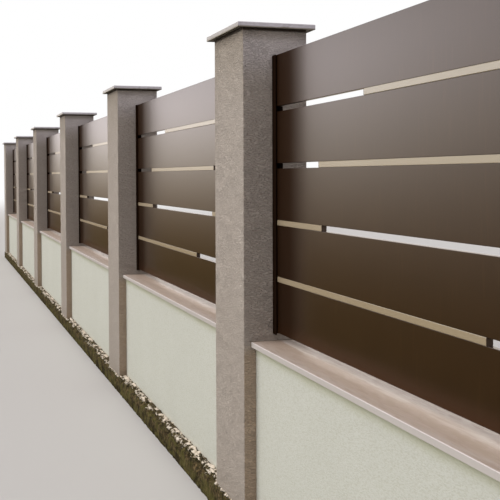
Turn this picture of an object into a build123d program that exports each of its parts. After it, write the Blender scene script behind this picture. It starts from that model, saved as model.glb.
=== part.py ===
from build123d import *
import os

# Garden fence in six bays: rendered masonry pillars and low walls on a strip footing,
# with aluminium boards between the pillars, held at their ends in upright channels.
# X runs along the fence, the front faces -Y and Z is up.
# The origin lies on the underside of the footing, under the middle pillar.

# Layout
bays = 6
bay_clear = 2340

# Strip footing
footing_height = 110
footing_lip = 10
footing_arris = 8

# Pillars
pillar_width = 400
pillar_depth = 265
pillar_height = 1897
pillar_arris = 4

# Caps on the pillars
cap_thickness = 20
cap_overhang = 27
cap_arris = 2

# Low walls
wall_thickness = 165
wall_height = 652

# Copings on the low walls
coping_thickness = 20
coping_overhang = 21
coping_arris = 2

# Drip grooves under caps and copings
drip_width = 6
drip_depth = 5
drip_margin = 8

# Boards
board_count = 5
board_height = 200
board_thickness = 16
board_gap = 21
board_corner = 1.5
board_skin = 1.5
board_web = 1.5
board_chambers = 3
board_above_coping = 36

# Strips in the gaps between the boards, proud of the boards on both faces
strip_thickness = 19
strip_corner = 1.5
strip_skin = 1.5
strip_top_stop = 842
strip_upper_stop = 470
strip_lower_stop = 495
strip_bottom_stop = 794

# Channels on the pillars' sides
channel_width = 30
channel_flange = 40
channel_metal = 2
channel_setback = 120
channel_drop = 8
channel_rib = 2
channel_rib_margin = 9

# Clearances
board_end_play = 3
board_side_play = 0.3
strip_end_play = 1

# Levels and lines that follow from the sizes above
bay_pitch = bay_clear + pillar_width
pillar_foot = footing_height
pillar_top = pillar_foot + pillar_height
wall_top = footing_height + wall_height
coping_top = wall_top + coping_thickness
board_pitch = board_height + board_gap
panel_height = board_count * board_pitch - board_gap
panel_bottom = coping_top + board_above_coping
panel_top = panel_bottom + panel_height
panel_middle = (panel_bottom + panel_top) / 2
panel_y = channel_setback + channel_width / 2 - pillar_depth / 2
board_seat = channel_metal + board_end_play
strip_seat = channel_flange + strip_end_play

os.makedirs("parts", exist_ok=True)


def write(piece, name):
    """Label one finished piece and write it to its STEP file."""
    piece.part.label = name
    export_step(piece.part, f"parts/{name}.step")


def pillar_x(number):
    """Middle of a pillar, counted from 1 at the -X end."""
    return (number - 1 - bays / 2) * bay_pitch


def bay_start(number):
    """Side face of the pillar at the -X end of a bay."""
    return pillar_x(number) + pillar_width / 2


def across(x, y, z):
    """Plane across the fence, for profiles drawn in Y and Z that run along X."""
    return Plane(origin=(x, y, z), x_dir=(0, 1, 0), z_dir=(1, 0, 0))


# Strip footing under the whole fence, with worn upper arrises
with BuildPart() as footing:
    with BuildSketch(Plane.XY):
        Rectangle(bays * bay_pitch + pillar_width + 2 * footing_lip, pillar_depth + 2 * footing_lip)
    extrude(amount=footing_height)
    chamfer(footing.faces().sort_by(Axis.Z)[-1].edges().filter_by(Axis.X), footing_arris)
write(footing, "footing")

# Pillars, with softened upright corners
for number in range(1, bays + 2):
    with BuildPart() as pillar:
        with BuildSketch(Plane((pillar_x(number), 0, pillar_foot))):
            Rectangle(pillar_width, pillar_depth)
        extrude(amount=pillar_height)
        fillet(pillar.edges().filter_by(Axis.Z), pillar_arris)
    write(pillar, f"pillar_{number}")

# Stone caps, with a drip groove all round underneath
for number in range(1, bays + 2):
    cap_seat = Plane((pillar_x(number), 0, pillar_top))
    cap_width = pillar_width + 2 * cap_overhang
    cap_depth = pillar_depth + 2 * cap_overhang
    groove_inset = 2 * (drip_margin + drip_width)
    with BuildPart() as cap:
        with BuildSketch(cap_seat):
            Rectangle(cap_width, cap_depth)
        extrude(amount=cap_thickness)
        chamfer(cap.faces().sort_by(Axis.Z)[-1].edges(), cap_arris)
        with BuildSketch(cap_seat):
            Rectangle(cap_width - 2 * drip_margin, cap_depth - 2 * drip_margin)
            Rectangle(cap_width - groove_inset, cap_depth - groove_inset, mode=Mode.SUBTRACT)
        extrude(amount=drip_depth, mode=Mode.SUBTRACT)
    write(cap, f"pillar_cap_{number}")

# Low walls between the pillars
for number in range(1, bays + 1):
    with BuildPart() as low_wall:
        with BuildSketch(across(bay_start(number), 0, footing_height)):
            Rectangle(wall_thickness, wall_height, align=(Align.CENTER, Align.MIN))
        extrude(amount=bay_clear)
    write(low_wall, f"low_wall_{number}")

# Stone copings on the low walls, with a drip groove along each side
for number in range(1, bays + 1):
    coping_width = wall_thickness + 2 * coping_overhang
    groove_spacing = coping_width - 2 * drip_margin - drip_width
    with BuildPart() as coping:
        with BuildSketch(across(bay_start(number), 0, wall_top)):
            Rectangle(coping_width, coping_thickness, align=(Align.CENTER, Align.MIN))
            with GridLocations(groove_spacing, 0, 2, 1):
                Rectangle(drip_width, drip_depth, align=(Align.CENTER, Align.MIN), mode=Mode.SUBTRACT)
        extrude(amount=bay_clear)
        chamfer(coping.faces().sort_by(Axis.Z)[-1].edges().filter_by(Axis.X), coping_arris)
    write(coping, f"coping_{number}")

# Hollow extruded boards, divided inside by webs
chamber_width = board_thickness - 2 * board_skin
chamber_height = (board_height - 2 * board_skin - (board_chambers - 1) * board_web) / board_chambers
for number in range(1, bays + 1):
    with BuildPart() as boards:
        with BuildSketch(across(bay_start(number) + board_seat, panel_y, panel_middle)):
            with GridLocations(0, board_pitch, 1, board_count):
                RectangleRounded(board_thickness, board_height, board_corner)
                with GridLocations(0, chamber_height + board_web, 1, board_chambers):
                    Rectangle(chamber_width, chamber_height, mode=Mode.SUBTRACT)
        extrude(amount=bay_clear - 2 * board_seat)
    write(boards, f"boards_{number}")

# Strips in the gaps, counted from the top: each is a tube from one place along its bay to another
strip_runs = (
    (1, strip_top_stop, bay_clear - strip_seat),
    (2, strip_upper_stop, bay_clear - strip_upper_stop),
    (3, strip_seat, strip_lower_stop),
    (3, bay_clear - strip_lower_stop, bay_clear - strip_seat),
    (4, strip_seat, bay_clear - strip_bottom_stop),
)
for number in range(1, bays + 1):
    with BuildPart() as strips:
        for gap, start, stop in strip_runs:
            gap_middle = panel_top - gap * board_pitch + board_gap / 2
            with BuildSketch(across(bay_start(number) + start, panel_y, gap_middle)) as tube:
                Rectangle(strip_thickness, board_gap)
                chamfer(tube.vertices(), strip_corner)
                Rectangle(strip_thickness - 2 * strip_skin, board_gap - 2 * strip_skin, mode=Mode.SUBTRACT)
            extrude(amount=stop - start)
    write(strips, f"strips_{number}")

# Channels on both pillars of a bay: their inner ribs guide the ends of the boards
groove_width = channel_width - 2 * channel_metal
guide_width = board_thickness + 2 * board_side_play
mouth_ribs = channel_flange - channel_rib_margin - channel_rib
web_ribs = channel_metal + channel_rib_margin
for number in range(1, bays + 1):
    bay_middle = bay_start(number) + bay_clear / 2
    with BuildPart() as channels:
        with BuildSketch(Plane((bay_start(number), panel_y, panel_bottom - channel_drop))):
            Rectangle(channel_flange, channel_width, align=(Align.MIN, Align.CENTER))
            with Locations((channel_metal, 0)):
                Rectangle(channel_flange - channel_metal, groove_width, align=(Align.MIN, Align.CENTER),
                          mode=Mode.SUBTRACT)
            with Locations((mouth_ribs, 0), (web_ribs, 0)):
                Rectangle(channel_rib, groove_width, align=(Align.MIN, Align.CENTER))
                Rectangle(channel_rib, guide_width, align=(Align.MIN, Align.CENTER), mode=Mode.SUBTRACT)
        extrude(amount=panel_height + channel_drop)
        mirror(about=Plane(origin=(bay_middle, 0, 0), z_dir=(1, 0, 0)))
    write(channels, f"channels_{number}")
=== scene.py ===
import bmesh
import bpy
import math
import random
from mathutils import Matrix, Vector, noise


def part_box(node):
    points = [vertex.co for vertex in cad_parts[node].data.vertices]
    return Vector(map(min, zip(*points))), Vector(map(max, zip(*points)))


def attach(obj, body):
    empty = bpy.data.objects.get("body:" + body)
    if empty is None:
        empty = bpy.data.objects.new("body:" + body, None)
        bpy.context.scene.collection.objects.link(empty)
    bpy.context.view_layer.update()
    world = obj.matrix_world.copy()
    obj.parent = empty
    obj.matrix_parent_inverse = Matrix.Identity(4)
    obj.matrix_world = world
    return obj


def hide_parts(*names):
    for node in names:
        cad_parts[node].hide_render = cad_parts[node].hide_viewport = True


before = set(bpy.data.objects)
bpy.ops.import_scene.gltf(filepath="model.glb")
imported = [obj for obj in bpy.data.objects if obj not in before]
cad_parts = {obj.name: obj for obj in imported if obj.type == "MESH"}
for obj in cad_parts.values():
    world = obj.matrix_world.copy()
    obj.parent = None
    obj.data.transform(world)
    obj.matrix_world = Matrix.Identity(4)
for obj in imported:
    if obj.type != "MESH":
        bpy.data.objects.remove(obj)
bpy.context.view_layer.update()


# Strip footing: one run of concrete cast along the whole fence, with the low walls and pillars
# built up from it. It was never rendered, so its upper edges have crumbled to a pale, lumpy
# crust, and its sides are dark with moss and splashed soil.
footing_low, footing_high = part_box("footing")
footing_depth = footing_high.y - footing_low.y
footing_height = footing_high.z - footing_low.z
footing_cells = (0.017, 0.015, 0.014)
wall_low, wall_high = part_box("low_wall_1")
wall_face = wall_high.y
pillar_low, pillar_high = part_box("pillar_1")
pillar_width = pillar_high.x - pillar_low.x
pillar_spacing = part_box("pillar_2")[0].x - pillar_low.x
half_spacing = pillar_spacing / 2
bite_depth = 0.03
bite_depth_at_pillar = 0.008
bite_grows_over = 0.04
bites_per_metre = (9, 31)
fine_bites = 0.7
usual_bite = 0.9
deepest_bite = 1.4
bite_inwards = 0.7
bite_downwards = 0.6
lump_height = 0.008
lumps_per_metre = (27, 61)
fine_lumps = 0.8
lumps_from_wall = 0.01
side_tolerance = 0.0025
level_sway = 0.05
moss_levels = (0.105, 0.05)
soil_below_top = (0.03, 0.012)
crust_above_top = (0.013, 0.019)
crust_steepness = 5.0
crust_starts = (1.05, 1.1)
crust_rise = 0.6
concrete_roughness = 0.01


def shade(red, green, blue):
    """A colour named as a screen shows it, from 0 to 255, in the linear values of a socket."""
    return (*(((value / 255 + 0.055) / 1.055) ** 2.4 for value in (red, green, blue)), 1.0)


def add_node(finish, kind, **settings):
    """A new node of the material, with its settings."""
    node = finish.node_tree.nodes.new("ShaderNode" + kind)
    for name, value in settings.items():
        setattr(node, name, value)
    return node


def feed(finish, socket, value):
    """Join another node's output to a socket, or set the socket to a fixed value."""
    if isinstance(value, bpy.types.NodeSocket):
        finish.node_tree.links.new(value, socket)
    else:
        socket.default_value = value


def set_shader(finish, name, value):
    """Give a socket of the material's shader another node's output or a fixed value."""
    feed(finish, finish.node_tree.nodes["Principled BSDF"].inputs[name], value)


def start_finish(name, roughness):
    """A new material with one shader."""
    finish = bpy.data.materials.new(name)
    finish.use_nodes = True
    set_shader(finish, "Roughness", roughness)
    return finish


def place_on(finish, axis):
    """How far along X, Y or Z a point of the fence lies, in metres."""
    place = add_node(finish, "TexCoord")
    split = add_node(finish, "SeparateXYZ")
    feed(finish, split.inputs[0], place.outputs["Object"])
    return split.outputs[axis]


def spots(finish, size, stretch=(1, 1, 1), detail=2.0, warp=0.0, place=None):
    """Soft spots of that size in metres, drawn out along X, Y or Z, as values from 0 to 1."""
    fit = add_node(finish, "Mapping")
    cloud = add_node(finish, "TexNoise")
    feed(finish, fit.inputs["Vector"], place or add_node(finish, "TexCoord").outputs["Object"])
    feed(finish, fit.inputs["Scale"], [1 / (size * pull) for pull in stretch])
    feed(finish, cloud.inputs["Vector"], fit.outputs["Vector"])
    feed(finish, cloud.inputs["Scale"], 1.0)
    feed(finish, cloud.inputs["Detail"], detail)
    feed(finish, cloud.inputs["Distortion"], warp)
    return cloud.outputs["Fac"]


def between(finish, value, start, stop):
    """0 where the value is at start, 1 at stop, and a soft rise between them."""
    rise = add_node(finish, "MapRange", interpolation_type="SMOOTHSTEP")
    feed(finish, rise.inputs["Value"], value)
    feed(finish, rise.inputs["From Min"], start)
    feed(finish, rise.inputs["From Max"], stop)
    return rise.outputs["Result"]


def worked(finish, operation, *values):
    """Values added, multiplied or otherwise worked together."""
    result = add_node(finish, "Math", operation=operation)
    for socket, value in zip(result.inputs, values):
        feed(finish, socket, value)
    return result.outputs[0]


def cover(finish, share, below, above, most=1.0):
    """One colour covered by another: not at all where the share is 0, and by the most where it is 1."""
    mix = add_node(finish, "Mix", data_type="RGBA")
    feed(finish, mix.inputs[0], worked(finish, "MULTIPLY", share, most))
    feed(finish, mix.inputs[6], below)
    feed(finish, mix.inputs[7], above)
    return mix.outputs[2]


def relief(finish, height, depth):
    """Rough the surface up to that depth in metres, where the height goes from 0 to 1."""
    bump = add_node(finish, "Bump")
    feed(finish, bump.inputs["Strength"], 1.0)
    feed(finish, bump.inputs["Distance"], depth)
    feed(finish, bump.inputs["Height"], height)
    set_shader(finish, "Normal", bump.outputs["Normal"])


def uneven(place, rates, fine_part):
    """Coarse and fine unevenness at a place, with that many bumps of each kind in a metre."""
    return noise.noise(place * rates[0]) + fine_part * noise.noise(place * rates[1])


def add_block(shape, size, middle):
    """Add a block of that size to a shape, around its middle."""
    block = bmesh.ops.create_cube(shape, size=1.0)["verts"]
    bmesh.ops.scale(shape, vec=size, verts=block)
    bmesh.ops.translate(shape, vec=middle, verts=block)


def add_object(name, shape, finish):
    """Make a shape an object with its finish."""
    mesh = bpy.data.meshes.new(name)
    shape.to_mesh(mesh)
    shape.free()
    mesh.materials.append(finish)
    made = bpy.data.objects.new(name, mesh)
    bpy.context.scene.collection.objects.link(made)
    return made


footing_finish = start_finish("footing_concrete", 0.92)
set_shader(footing_finish, "Specular IOR Level", 0.2)
footing_grain = spots(footing_finish, 0.012, detail=5.0)
footing_patches = spots(footing_finish, 0.07, stretch=(1.6, 1, 0.8), detail=4.0, warp=0.6)
footing_level = place_on(footing_finish, 2)
footing_pores = between(footing_finish, footing_grain, 0.38, 0.6)
concrete_tone = cover(footing_finish, footing_pores, shade(58, 47, 26), shade(112, 96, 66))
streak_spots = spots(footing_finish, 0.035, stretch=(1, 1, 1.8), detail=3.0)
streak_share = between(footing_finish, streak_spots, 0.44, 0.6)
streaked_tone = cover(footing_finish, streak_share, concrete_tone, shade(32, 24, 11), most=0.75)
moss_spots = spots(footing_finish, 0.03, stretch=(1.4, 1, 1), detail=4.0)
moss_level = worked(footing_finish, "MULTIPLY_ADD", footing_patches, level_sway, footing_level)
moss_share = worked(
    footing_finish, "MAXIMUM",
    between(footing_finish, moss_level, *moss_levels), between(footing_finish, moss_spots, 0.42, 0.56))
moss_kinds = between(footing_finish, footing_patches, 0.42, 0.58)
moss_tone = cover(footing_finish, moss_kinds, shade(30, 28, 10), shade(80, 77, 36))
mossy_tone = cover(footing_finish, moss_share, streaked_tone, moss_tone, most=0.7)
soil_levels = [footing_height - below for below in soil_below_top]
soil_share = between(footing_finish, footing_level, *soil_levels)
soil_clods = between(footing_finish, spots(footing_finish, 0.014, detail=4.0), 0.4, 0.62)
soil_tone = cover(footing_finish, soil_clods, shade(26, 22, 11), shade(96, 86, 54))
soiled_tone = cover(footing_finish, soil_share, mossy_tone, soil_tone, most=0.9)
crust_lumps = spots(footing_finish, 0.022, stretch=(1.7, 1, 1), detail=4.0, warp=0.4)
from_middle = worked(footing_finish, "ABSOLUTE", place_on(footing_finish, 1))
crust_outward = worked(footing_finish, "MULTIPLY_ADD", from_middle, crust_steepness, crust_lumps)
crust_level = worked(footing_finish, "MULTIPLY_ADD", crust_lumps, level_sway, footing_level)
crust_levels = [footing_height + above for above in crust_above_top]
crust_share = worked(
    footing_finish, "MULTIPLY",
    between(footing_finish, crust_outward, *crust_starts),
    between(footing_finish, crust_level, *crust_levels))
crust_tone = cover(footing_finish, footing_pores, shade(120, 104, 78), shade(230, 220, 204))
set_shader(footing_finish, "Base Color", cover(footing_finish, crust_share, soiled_tone, crust_tone))
footing_relief = worked(footing_finish, "MULTIPLY_ADD", crust_share, crust_rise, footing_grain)
relief(footing_finish, footing_relief, concrete_roughness)

footing_shape = bmesh.new()
add_block(footing_shape, footing_high - footing_low, (footing_low + footing_high) / 2)
for axis, cell in enumerate(footing_cells):
    span = footing_high[axis] - footing_low[axis]
    along = [e for e in footing_shape.edges if abs(e.verts[0].co[axis] - e.verts[1].co[axis]) > span / 2]
    bmesh.ops.subdivide_edges(footing_shape, edges=along, cuts=round(span / cell), use_grid_fill=True)
for corner in footing_shape.verts:
    place = corner.co.copy()
    side = math.copysign(1, place.y)
    from_arris = (footing_depth / 2 - abs(place.y)) + (footing_height - place.z)
    from_pillar = abs((place.x + half_spacing) % pillar_spacing - half_spacing) - pillar_width / 2
    freedom = max(0.0, min(1.0, from_pillar / bite_grows_over))
    bite = bite_depth * max(0.0, min(deepest_bite, uneven(place, bites_per_metre, fine_bites) + usual_bite))
    reach = bite_depth_at_pillar + freedom * (bite - bite_depth_at_pillar)
    if 0 < place.z and from_arris < reach:
        corner.co.y -= side * bite_inwards * (reach - from_arris)
        corner.co.z -= bite_downwards * (reach - from_arris)
    lump = uneven(place, lumps_per_metre, fine_lumps)
    if abs(place.y) > footing_depth / 2 - side_tolerance:
        corner.co.y -= side * lump_height * (0.5 + 0.5 * lump)
    if abs(place.y) > wall_face + lumps_from_wall and place.z == footing_height:
        corner.co.z += lump_height * lump
for face in footing_shape.faces:
    face.smooth = True
footing_piece = add_object("rough_footing", footing_shape, footing_finish)
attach(footing_piece, "root")
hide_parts("footing")


# Rubble on the ledges of the footing: crumbs of mortar and grit dropped while the walls were
# built, and bits broken off the footing's edge. They lie loose in the soil along each low wall,
# most of them small and close to it.
bays = sum(name.startswith("low_wall_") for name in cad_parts)
crumbs_on_ledge = 300
crumb_sizes = (0.003, 0.014)
crumb_length = 2.1
crumb_flatness = 0.6
crumb_knocks = (0.7, 1.15)
crumb_end_margin = 0.02
sizes_off_wall = 0.6
sizes_above_ledge = 0.2
crumb_overhang = 0.004
ledge_depth = footing_high.y - wall_face - bite_depth + crumb_overhang
random.seed(7)

crumb_finish = start_finish("mortar_crumbs", 0.95)
crumb_kinds = between(crumb_finish, spots(crumb_finish, 0.03, stretch=(3, 1, 1), detail=3.0), 0.43, 0.52)
crumb_soil = cover(crumb_finish, spots(crumb_finish, 0.03, detail=1.0), shade(44, 38, 20), shade(100, 86, 58))
set_shader(crumb_finish, "Base Color", cover(crumb_finish, crumb_kinds, crumb_soil, shade(224, 212, 194)))
relief(crumb_finish, spots(crumb_finish, 0.002, detail=3.0), 0.0006)

crumbs = bmesh.new()
for bay in range(1, bays + 1):
    bay_low, bay_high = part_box(f"low_wall_{bay}")
    for side in (-1, 1):
        heap = bmesh.new()
        for number in range(crumbs_on_ledge):
            size = crumb_sizes[0] + (crumb_sizes[1] - crumb_sizes[0]) * random.random() ** 2
            from_wall = random.random() ** 1.5 * (ledge_depth - size)
            spot = Vector((
                random.uniform(bay_low.x + crumb_end_margin, bay_high.x - crumb_end_margin),
                side * (wall_face + sizes_off_wall * size + from_wall),
                footing_high.z + sizes_above_ledge * size,
            ))
            turn = Matrix.Rotation(random.uniform(0, math.pi), 4, random.choice("XYZ"))
            stone = bmesh.ops.create_icosphere(heap, subdivisions=1, radius=size)["verts"]
            for corner in stone:
                corner.co *= random.uniform(*crumb_knocks)
            bmesh.ops.transform(heap, matrix=turn, verts=stone)
            bmesh.ops.scale(heap, vec=(crumb_length, 1, crumb_flatness), verts=stone)
            bmesh.ops.translate(heap, vec=spot, verts=stone)
        heap_mesh = bpy.data.meshes.new("crumb_heap")
        heap.to_mesh(heap_mesh)
        heap.free()
        crumbs.from_mesh(heap_mesh)
        bpy.data.meshes.remove(heap_mesh)
rubble_piece = add_object("ledge_rubble", crumbs, crumb_finish)
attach(rubble_piece, "root")


# Pillars: hollow blocks laid in mortar and rendered with a coarse warm grey-beige coat. A float
# rolled the coat's grit into short crooked furrows, with painted shade in their hollows. Fronts and
# backs are streaked darker towards the caps. Painted light pales the sides below the caps, painted
# shadow darkens every face just under the caps, and painted warm bounce light tints the sides
# below the copings.
pillar_top = pillar_high.z
coping_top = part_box("coping_1")[1].z
furrow_size = 0.0065
furrow_depth = 0.0036
furrow_sway = 0.04
splash_levels = (0.26, 0.1)
top_streak_sway = -0.1
top_streak_levels = (pillar_top - 0.4, pillar_top - 0.02)
warm_bounce_levels = (coping_top, coping_top - 0.06)
side_light_foot = (pillar_top - 0.24, pillar_top - 0.08)
side_light_head = (pillar_top, pillar_top - 0.06)
cap_shadow_depth = 0.014


def facing(finish, axis):
    """How far a point's surface faces along X, Y or Z, from -1 to 1."""
    surface = add_node(finish, "NewGeometry")
    split = add_node(finish, "SeparateXYZ")
    feed(finish, split.inputs[0], surface.outputs["Normal"])
    return split.outputs[axis]


def dress(kind, finish):
    """Give every CAD node of one kind, such as pillar_1 and the other pillars, its finish."""
    for name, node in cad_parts.items():
        if name.rstrip("0123456789") == kind + "_":
            for holder in node.material_slots:
                holder.material = finish


pillar_finish = start_finish("pillar_render", 0.93)
pillar_level = place_on(pillar_finish, 2)
sway_spots = spots(pillar_finish, 0.08, detail=1.0)
swayed_level = worked(pillar_finish, "MULTIPLY_ADD", sway_spots, furrow_sway, pillar_level)
furrow_place = add_node(pillar_finish, "CombineXYZ")
for axis, level in enumerate((place_on(pillar_finish, 0), place_on(pillar_finish, 1), swayed_level)):
    feed(pillar_finish, furrow_place.inputs[axis], level)
furrows = spots(
    pillar_finish, furrow_size, stretch=(2.4, 2.6, 0.65), warp=0.4, place=furrow_place.outputs[0])
# Painted shade: the hollows of the furrows are darker.
furrow_hollow_shade = between(pillar_finish, furrows, 0.54, 0.36)
pillar_clouds = spots(pillar_finish, 0.35, stretch=(1, 1, 1.6), detail=3.0)
pillar_pits = between(pillar_finish, spots(pillar_finish, 0.012, detail=0.0), 0.24, 0.14)
pillar_plain = cover(pillar_finish, pillar_clouds, shade(171, 161, 150), shade(184, 175, 165))
pillar_furrow_shaded = cover(pillar_finish, furrow_hollow_shade, pillar_plain, shade(167, 156, 145))
pillar_pitted = cover(pillar_finish, pillar_pits, pillar_furrow_shaded, shade(150, 138, 129))
splash_share = between(pillar_finish, pillar_level, *splash_levels)
pillar_splashed = cover(pillar_finish, splash_share, pillar_pitted, shade(128, 116, 98), most=0.2)
# Fronts and backs are streaked darker towards the caps.
top_streak_spots = spots(pillar_finish, 0.04, stretch=(1, 1, 4), detail=3.0)
top_streak_level = worked(pillar_finish, "MULTIPLY_ADD", top_streak_spots, top_streak_sway, pillar_level)
top_streak_reach = between(pillar_finish, top_streak_level, *top_streak_levels)
across_fence = worked(pillar_finish, "ABSOLUTE", facing(pillar_finish, 1))
front_or_back = between(pillar_finish, across_fence, 0.3, 0.7)
top_streak_share = worked(pillar_finish, "MULTIPLY", top_streak_reach, front_or_back)
pillar_top_streaked = cover(pillar_finish, top_streak_share, pillar_splashed, shade(120, 108, 84), most=0.36)
pillar_side = worked(pillar_finish, "SUBTRACT", 1.0, front_or_back)
# Painted warm bounce light: the sides below the copings are tinted tan.
warm_bounce_reach = between(pillar_finish, pillar_level, *warm_bounce_levels)
warm_bounce_share = worked(pillar_finish, "MULTIPLY", warm_bounce_reach, pillar_side)
pillar_warm_lit = cover(pillar_finish, warm_bounce_share, pillar_top_streaked, shade(172, 139, 98), most=0.42)
# Painted light: the sides are paler below the caps.
side_light_reach = worked(
    pillar_finish, "MINIMUM",
    between(pillar_finish, pillar_level, *side_light_foot), between(pillar_finish, pillar_level, *side_light_head))
side_light_share = worked(pillar_finish, "MULTIPLY", side_light_reach, pillar_side)
pillar_side_lit = cover(pillar_finish, side_light_share, pillar_warm_lit, shade(206, 198, 196), most=0.8)
# Painted shadow under the caps: a soft dark band, and a dark line at the top of every face.
cap_shade_share = between(pillar_finish, pillar_level, pillar_top - 4 * cap_shadow_depth, pillar_top - cap_shadow_depth)
pillar_cap_shaded = cover(pillar_finish, cap_shade_share, pillar_side_lit, shade(92, 76, 58), most=0.22)
cap_shadow_share = between(pillar_finish, pillar_level, pillar_top - cap_shadow_depth, pillar_top - cap_shadow_depth / 3)
set_shader(pillar_finish, "Base Color", cover(pillar_finish, cap_shadow_share, pillar_cap_shaded, shade(40, 28, 12)))
relief(pillar_finish, between(pillar_finish, furrows, 0.4, 0.6), furrow_depth)
dress("pillar", pillar_finish)


# Low walls: the same blocks between the pillars, rendered with a fine coat and painted a cream
# with a touch of green. Along the top a faint green damp stain is mixed with painted shade from
# the coping, a narrow painted shadow runs just below the coping, and what splashed up from the
# ledge has dried pale along the foot.
wall_sway = 0.03
damp_and_shade_levels = (wall_high.z - 0.04, wall_high.z + 0.015)
coping_shadow_levels = (wall_high.z - 0.001, wall_high.z + 0.014)
foot_levels = (wall_low.z + 0.05, wall_low.z)

wall_finish = start_finish("wall_render", 0.9)
wall_grit = spots(wall_finish, 0.0045, stretch=(2.4, 1.2, 0.8), detail=3.0, warp=0.5)
wall_clouds = spots(wall_finish, 0.25, stretch=(1.2, 1, 1.8), detail=4.0)
wall_level = worked(wall_finish, "MULTIPLY_ADD", wall_clouds, wall_sway, place_on(wall_finish, 2))
wall_plain = cover(wall_finish, wall_clouds, shade(190, 192, 182), shade(199, 201, 192))
wall_grit_share = between(wall_finish, wall_grit, 0.6, 0.3)
wall_gritty = cover(wall_finish, wall_grit_share, wall_plain, shade(182, 183, 169))
# Partly a green damp stain, partly painted shade below the coping.
wall_damp_and_shade = between(wall_finish, wall_level, *damp_and_shade_levels)
wall_damp_shaded = cover(wall_finish, wall_damp_and_shade, wall_gritty, shade(172, 173, 144), most=0.85)
# Painted shadow: a narrow dark line just below the coping.
coping_shadow_line = between(wall_finish, wall_level, *coping_shadow_levels)
wall_coping_shadowed = cover(wall_finish, coping_shadow_line, wall_damp_shaded, shade(126, 122, 90), most=0.6)
wall_foot = between(wall_finish, wall_level, *foot_levels)
wall_tone = cover(wall_finish, wall_foot, wall_coping_shadowed, shade(214, 207, 192), most=0.5)
set_shader(wall_finish, "Base Color", wall_tone)
relief(wall_finish, wall_grit, 0.0014)
dress("low_wall", wall_finish)


# Copings: slabs of sawn, vein-cut limestone bedded on the low walls, with their veins running
# lengthwise in tan, rose and cream. The pale band towards the back is partly painted light, lifted
# where the boards shade it. Their upper arrises carry a painted highlight, the sawn front and back
# edges are greyer than the top, and the undersides are darkened with painted shade.
coping_low, coping_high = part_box("coping_1")
vein_sway = 0.12
vein_shift = vein_sway / 2


def turned(finish, value, old, new):
    """A value that runs evenly between two ends, turned to run between two others."""
    run = add_node(finish, "MapRange")
    for name, end in zip(("Value", "From Min", "From Max", "To Min", "To Max"), (value, *old, *new)):
        feed(finish, run.inputs[name], end)
    return run.outputs["Result"]


def tones(finish, value, *steps):
    """Colours at places from 0 to 1 of a value, blended between the places."""
    ramp = add_node(finish, "ValToRGB")
    stops = ramp.color_ramp.elements
    stops[0].position = steps[0][0]
    stops[1].position = steps[-1][0]
    for step in steps[1:-1]:
        stops.new(step[0])
    for stop, step in zip(stops, steps):
        stop.color = step[1]
    feed(finish, ramp.inputs["Fac"], value)
    return ramp.outputs["Color"]


def on_arris(finish):
    """1 on a slab's upper arrises, which face half upwards, and 0 elsewhere."""
    upward = facing(finish, 2)
    return worked(finish, "MULTIPLY", between(finish, upward, 0.4, 0.6), between(finish, upward, 0.95, 0.8))


def underneath(finish):
    """1 on a slab's underside, and 0 on its edges and top."""
    return between(finish, facing(finish, 2), -0.3, -0.8)


coping_finish = start_finish("coping_stone", 0.45)
set_shader(coping_finish, "Specular IOR Level", 0.3)
coping_bands = spots(coping_finish, 0.045, stretch=(9, 1, 1), detail=4.0, warp=0.8)
coping_lines = spots(coping_finish, 0.014, stretch=(7, 1, 1), detail=2.5, warp=0.8)
coping_flecks = spots(coping_finish, 0.02, stretch=(2.5, 1, 1), detail=5.0)
vein_place = worked(coping_finish, "MULTIPLY_ADD", coping_bands, vein_sway, place_on(coping_finish, 1))
veins_across = (coping_low.y + vein_shift, coping_high.y + vein_shift)
across_top = turned(coping_finish, vein_place, veins_across, (0, 1))
# Veins with painted light: the pale band towards the back is lifted where the boards shade it.
coping_veins_and_light = tones(
    coping_finish, across_top,
    (0.02, shade(200, 187, 177)), (0.14, shade(193, 176, 161)), (0.49, shade(178, 158, 139)),
    (0.62, shade(214, 203, 191)), (0.7, shade(214, 203, 192)), (0.84, shade(241, 231, 220)),
    (1.0, shade(218, 204, 190)))
coping_mottle = between(coping_finish, coping_flecks, 0.45, 0.65)
coping_mottled = cover(coping_finish, coping_mottle, coping_veins_and_light, shade(199, 181, 170), most=0.4)
coping_line_share = between(coping_finish, coping_lines, 0.56, 0.3)
coping_lined = cover(coping_finish, coping_line_share, coping_mottled, shade(170, 148, 131), most=0.45)
# Painted highlight on the upper arrises.
coping_arris_highlit = cover(coping_finish, on_arris(coping_finish), coping_lined, shade(209, 201, 197))
coping_edge = between(coping_finish, worked(coping_finish, "ABSOLUTE", facing(coping_finish, 2)), 0.6, 0.2)
coping_edged = cover(coping_finish, coping_edge, coping_arris_highlit, shade(188, 182, 177))
# Painted shade: the undersides are darker.
coping_tone = cover(coping_finish, underneath(coping_finish), coping_edged, shade(122, 112, 92))
set_shader(coping_finish, "Base Color", coping_tone)
relief(coping_finish, spots(coping_finish, 0.0025, stretch=(3, 1, 1), detail=3.0), 0.0003)
dress("coping", coping_finish)


# Joints of the copings: the mason filled the joint between each coping's end and the pillar
# with mortar and struck it off, which leaves a thin bead over the slab's top and both edges.
joint_width = 0.005
joint_proud = 0.0015
joint_arris = 0.001

joint_finish = start_finish("joint_mortar", 0.95)
joint_grit = spots(joint_finish, 0.006, detail=4.0)
joint_tone = cover(joint_finish, joint_grit, shade(88, 78, 62), shade(138, 126, 106))
set_shader(joint_finish, "Base Color", joint_tone)
relief(joint_finish, joint_grit, 0.001)

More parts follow.
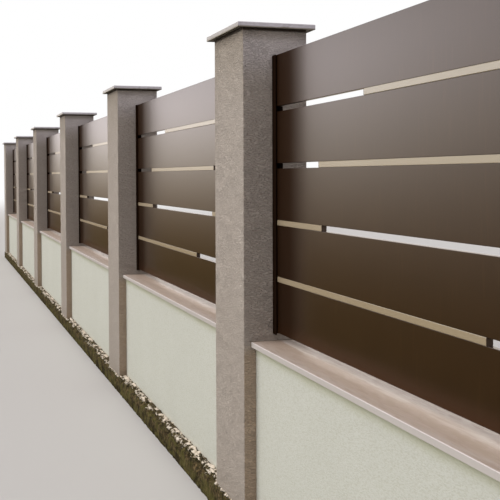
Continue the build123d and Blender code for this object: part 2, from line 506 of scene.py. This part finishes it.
joints = bmesh.new()
for bay in range(1, bays + 1):
    slab_low, slab_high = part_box(f"coping_{bay}")
    bead_depth = slab_high.y - slab_low.y + 2 * joint_proud
    bead_height = slab_high.z - slab_low.z + joint_proud
    for end_x, inward in ((slab_low.x, 1), (slab_high.x, -1)):
        bead_middle = (end_x + inward * joint_width / 2, 0, slab_low.z + bead_height / 2)
        add_block(joints, (joint_width, bead_depth, bead_height), bead_middle)
bmesh.ops.bevel(
    joints, geom=joints.edges[:], offset=joint_arris, segments=1, profile=0.5, material=-1, affect="EDGES")
joint_piece = add_object("coping_joints", joints, joint_finish)
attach(joint_piece, "root")


# Caps: slabs of pale marble bedded on the pillars and overhanging them all round. Their edges
# are sawn. Those to the front and back have weathered grey, and along the foot of every edge
# runs a line of olive grime. Their upper arrises carry a painted highlight, and their undersides
# are near black with painted shade.
cap_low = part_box("pillar_cap_1")[0]
cap_sway = 0.006
cap_grime_levels = (cap_low.z + 0.011, cap_low.z + 0.004)

cap_finish = start_finish("cap_stone", 0.5)
set_shader(cap_finish, "Specular IOR Level", 0.2)
cap_veins = spots(cap_finish, 0.06, stretch=(1.4, 1, 1), detail=6.0, warp=1.4)
cap_veined = tones(
    cap_finish, cap_veins,
    (0.35, shade(192, 188, 193)), (0.5, shade(206, 203, 208)), (0.62, shade(198, 194, 199)))
cap_weather = between(cap_finish, worked(cap_finish, "ABSOLUTE", facing(cap_finish, 1)), 0.4, 0.9)
cap_weathered = cover(cap_finish, cap_weather, cap_veined, shade(161, 157, 150), most=0.85)
# Painted highlight on the upper arrises.
cap_arris_highlit = cover(cap_finish, on_arris(cap_finish), cap_weathered, shade(218, 215, 219))
cap_level = worked(cap_finish, "MULTIPLY_ADD", cap_veins, cap_sway, place_on(cap_finish, 2))
cap_grime = between(cap_finish, cap_level, *cap_grime_levels)
cap_grimed = cover(cap_finish, cap_grime, cap_arris_highlit, shade(96, 86, 58), most=0.85)
cap_top = between(cap_finish, facing(cap_finish, 2), 0.95, 1.0)
cap_topped = cover(cap_finish, cap_top, cap_grimed, shade(204, 204, 196), most=0.8)
# Painted shade: the undersides are near black.
cap_tone = cover(cap_finish, underneath(cap_finish), cap_topped, shade(30, 21, 8))
set_shader(cap_finish, "Base Color", cap_tone)
relief(cap_finish, spots(cap_finish, 0.003, detail=3.0), 0.0003)
dress("pillar_cap", cap_finish)


# Channels: extruded aluminium, coated dark brown and fixed upright to the pillars' sides. They
# take up the ends of the boards.
channel_finish = start_finish("channel_brown", 0.35)
set_shader(channel_finish, "Specular IOR Level", 0.0)
channel_film = spots(channel_finish, 0.05, stretch=(1, 1, 5), detail=4.0)
channel_tone = cover(channel_finish, channel_film, shade(33, 22, 15), shade(40, 27, 19))
set_shader(channel_finish, "Base Color", channel_tone)
relief(channel_finish, spots(channel_finish, 0.0016), 0.00006)
dress("channels", channel_finish)


# Boards: hollow aluminium extrusions, coated a satin brown. The coat has a fine grain and a thin
# film of dust with faint streaks. Close to the channels the coat is dulled, and its colour is
# darkened with painted shade from the pillars. What rain splashes up from the copings dulls it and
# warms its colour along the lowest board.
panel_low, panel_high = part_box("boards_1")
end_shade_from_pillar = (0.58, 0.36)
coat_splash_levels = (panel_low.z + 0.07, panel_low.z)
coat_splash_dulls = 0.7
coat_specular = (0.5, 0.05)
coat_roughness = (0.28, 0.5)

board_finish = start_finish("board_brown", coat_roughness[0])
board_film = spots(board_finish, 0.09, stretch=(2.2, 1, 1), detail=5.0)
board_streaks = spots(board_finish, 0.02, stretch=(0.6, 1, 9), detail=3.0)
board_streak_share = between(board_finish, board_streaks, 0.55, 0.8)
board_from_pillar = worked(board_finish, "PINGPONG", place_on(board_finish, 0), half_spacing)
# Painted shade: the boards darken and dull towards the channels, where the pillars shade them.
board_end_shade = between(board_finish, board_from_pillar, *end_shade_from_pillar)
board_splash = between(board_finish, place_on(board_finish, 2), *coat_splash_levels)
board_plain = cover(board_finish, board_film, shade(39, 23, 10), shade(47, 30, 14))
board_streaked = cover(board_finish, board_streak_share, board_plain, shade(53, 36, 19))
board_splashed = cover(board_finish, board_splash, board_streaked, shade(62, 34, 11), most=0.6)
board_tone = cover(board_finish, board_end_shade, board_splashed, shade(30, 17, 8), most=0.7)
set_shader(board_finish, "Base Color", board_tone)
board_spotted = worked(board_finish, "MULTIPLY", board_splash, coat_splash_dulls)
board_dulled = worked(board_finish, "MAXIMUM", board_end_shade, board_spotted)
for name, clean_and_dull in (("Specular IOR Level", coat_specular), ("Roughness", coat_roughness)):
    set_shader(board_finish, name, turned(board_finish, board_dulled, (0, 1), clean_and_dull))
relief(board_finish, spots(board_finish, 0.0018), 0.00005)
dress("boards", board_finish)


# Strips: slim aluminium tubes in a cream coat, set into the gaps between the boards. They close
# parts of the gaps, and those that run to a pillar stop just short of its channel.
strip_finish = start_finish("strip_cream", 0.35)
for name, value in (
    ("IOR", 1.85), ("Specular Tint", (0.5, 0.78, 1.0, 1.0)), ("Coat Weight", 0.25), ("Coat Roughness", 0.25),
):
    set_shader(strip_finish, name, value)
strip_film = spots(strip_finish, 0.08, stretch=(3, 1, 1), detail=4.0)
strip_tone = cover(strip_finish, strip_film, shade(152, 135, 107), shade(160, 144, 117))
set_shader(strip_finish, "Base Color", strip_tone)
relief(strip_finish, spots(strip_finish, 0.0018), 0.00005)
dress("strips", strip_finish)


# Plugs of the strips: moulded brown plastic, pressed into each end that stays open in the middle
# of a bay. Only the plug's thin head shows, as large as the tube.
plug_head = 0.0015
plug_skin = 0.0015
plug_depth = 0.012
plug_arris = 0.0012
plug_parts = ((plug_head, 0, plug_head / 2), (plug_depth, plug_skin, -plug_depth / 2))
channel_reach = 0.1
board_count = 5
tube_low, tube_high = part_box("strips_1")
board_pitch = (panel_high.z - panel_low.z + tube_high.z - tube_low.z) / (2 * board_count - 2)
tube_height = tube_high.z - tube_low.z - (board_count - 2) * board_pitch
tube_width = tube_high.y - tube_low.y
tube_middle = (tube_low.y + tube_high.y) / 2

plug_finish = start_finish("plug_brown", 0.55)
plug_tone = cover(plug_finish, spots(plug_finish, 0.01), shade(50, 36, 24), shade(60, 43, 30))
set_shader(plug_finish, "Base Color", plug_tone)

plugs = bmesh.new()
for bay in range(1, bays + 1):
    bay_low, bay_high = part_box(f"low_wall_{bay}")
    corners = [corner.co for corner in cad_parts[f"strips_{bay}"].data.vertices]
    for gap in range(1, board_count):
        gap_middle = panel_high.z - gap * board_pitch + tube_height / 2
        ends = sorted({round(c.x, 4) for c in corners if abs(c.z - gap_middle) < tube_height})
        for order, end_x in enumerate(ends):
            if min(end_x - bay_low.x, bay_high.x - end_x) < channel_reach:
                continue
            outward = 1 if order % 2 else -1
            for length, inset, shift in plug_parts:
                part_size = (length, tube_width - 2 * inset, tube_height - 2 * inset)
                add_block(plugs, part_size, (end_x + outward * shift, tube_middle, gap_middle))
lengthwise = [e for e in plugs.edges if abs(e.verts[0].co.x - e.verts[1].co.x) > plug_head / 2]
bmesh.ops.bevel(
    plugs, geom=lengthwise, offset=plug_arris, segments=2, profile=0.5, material=-1, affect="EDGES")
plug_piece = add_object("strip_plugs", plugs, plug_finish)
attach(plug_piece, "root")


# The studio: a plain pale floor that fades out into white, a white surround that lights softly,
# one large soft light from the front left and a weaker one from above. None of it is part of
# the fence.
floor_reach = 400
floor_fades_at = (16, 60)
surround_light = 0.33
surround_tone = (0.96, 0.94, 0.98, 1.0)
white = (1.0, 1.0, 1.0, 1.0)


def seen_directly(finish):
    """1 for what the camera, a reflection or clear glass sees, and 0 for what lights the fence."""
    rays = add_node(finish, "LightPath")
    either = worked(finish, "MAXIMUM", rays.outputs["Is Camera Ray"], rays.outputs["Is Glossy Ray"])
    return worked(finish, "MAXIMUM", either, rays.outputs["Is Transmission Ray"])


def show(finish, share, lighting, plain, output):
    """Show the plain node as far as the share from 0 to 1 says, and the lighting one otherwise."""
    mix = add_node(finish, "MixShader")
    for socket, value in zip(mix.inputs, (share, lighting.outputs[0], plain.outputs[0])):
        feed(finish, socket, value)
    feed(finish, finish.node_tree.nodes[output].inputs["Surface"], mix.outputs[0])


floor_finish = start_finish("floor", 0.95)
set_shader(floor_finish, "Base Color", shade(206, 205, 202))
floor_distance = add_node(floor_finish, "VectorMath", operation="LENGTH")
feed(floor_finish, floor_distance.inputs[0], add_node(floor_finish, "TexCoord").outputs["Object"])
floor_fade = between(floor_finish, floor_distance.outputs["Value"], *floor_fades_at)
floor_share = worked(floor_finish, "MULTIPLY", floor_fade, seen_directly(floor_finish))
floor_shader = floor_finish.node_tree.nodes["Principled BSDF"]
show(floor_finish, floor_share, floor_shader, add_node(floor_finish, "Emission"), "Material Output")

floor_shape = bmesh.new()
bmesh.ops.create_grid(floor_shape, x_segments=1, y_segments=1, size=floor_reach)
floor = add_object("floor", floor_shape, floor_finish)

world = bpy.data.worlds.new("surround")
world.use_nodes = True
bpy.context.scene.world = world
soft_light = world.node_tree.nodes["Background"]
feed(world, soft_light.inputs["Color"], surround_tone)
feed(world, soft_light.inputs["Strength"], surround_light)
white_surround = add_node(world, "Background")
feed(world, white_surround.inputs["Color"], white)
show(world, seen_directly(world), soft_light, white_surround, "World Output")

for lamp_name, energy, spread, tone, from_side in (
    ("front_light", 2.05, 60, (1.0, 0.98, 0.95), (-0.33, -0.78, 0.53)),
    ("top_light", 1.0, 80, (1.0, 0.93, 0.96), (0.45, -0.25, 0.86)),
):
    lamp_data = bpy.data.lights.new(lamp_name, "SUN")
    lamp_data.energy = energy
    lamp_data.angle = math.radians(spread)
    lamp_data.color = tone
    lamp = bpy.data.objects.new(lamp_name, lamp_data)
    lamp.rotation_euler = Vector(from_side).to_track_quat("Z", "Y").to_euler()
    lamp.visible_glossy = False
    bpy.context.scene.collection.objects.link(lamp)


# Glowing cards that only reflections see stand along the fence, one on each side, with one on the
# floor between them. They glow dark low down and pale above, a painted reflection that makes the
# satin boards shade upwards.
card_distance = 1.4
card_height = 2.6
card_reach = 60
card_glow = 2.6
card_above_floor = 0.002
upright = math.pi / 2

card_finish = start_finish("glowing_reflection_card", 1.0)
card_light = add_node(card_finish, "Emission")
card_rise = worked(card_finish, "DIVIDE", place_on(card_finish, 2), card_height)
# Painted reflection: the glow runs from dark at the floor to pale above.
card_reflection_tone = tones(
    card_finish, card_rise,
    (0.0, shade(57, 46, 23)), (0.15, shade(67, 54, 26)), (0.31, shade(91, 75, 51)),
    (0.49, shade(153, 140, 124)), (0.67, shade(214, 204, 193)), (0.85, shade(255, 245, 245)))
feed(card_finish, card_light.inputs["Strength"], card_glow)
feed(card_finish, card_light.inputs["Color"], card_reflection_tone)
feed(card_finish, card_finish.node_tree.nodes["Material Output"].inputs["Surface"], card_light.outputs[0])

card_shape = bmesh.new()
for turn, half_width, side, level in (
    (upright, card_height / 2, -card_distance, card_height / 2),
    (upright, card_height / 2, card_distance, card_height / 2),
    (0, card_distance, 0, card_above_floor),
):
    card = bmesh.ops.create_grid(card_shape, x_segments=1, y_segments=1, size=1)["verts"]
    bmesh.ops.scale(card_shape, vec=(card_reach, half_width, 1), verts=card)
    bmesh.ops.rotate(card_shape, matrix=Matrix.Rotation(turn, 3, "X"), verts=card)
    bmesh.ops.translate(card_shape, vec=(0, side, level), verts=card)
cards = add_object("glowing_reflection_cards", card_shape, card_finish)
cards.visible_camera = False
cards.visible_diffuse = False
cards.visible_transmission = False
cards.visible_shadow = False


# The camera stands close in front of the fence near its right end and looks along it. Its lens
# is shifted to keep the photograph's frame.
camera_place = (9.261, -1.2643, 1.432)
camera_heading = math.radians(72.062)
camera_tilt = math.radians(88.571)
camera_roll = math.radians(-0.1975)

camera_data = bpy.data.cameras.new("camera")
camera_data.sensor_width = 36
camera_data.lens = 69.48
camera_data.shift_y = -0.1001
camera_data.clip_start = 0.05
camera_data.clip_end = 1000
camera = bpy.data.objects.new("camera", camera_data)
camera.matrix_world = (
    Matrix.Translation(camera_place)
    @ Matrix.Rotation(camera_heading, 4, "Z")
    @ Matrix.Rotation(camera_tilt, 4, "X")
    @ Matrix.Rotation(camera_roll, 4, "Z")
)
bpy.context.scene.collection.objects.link(camera)
bpy.context.scene.camera = camera
bpy.context.scene.view_settings.view_transform = "Standard"
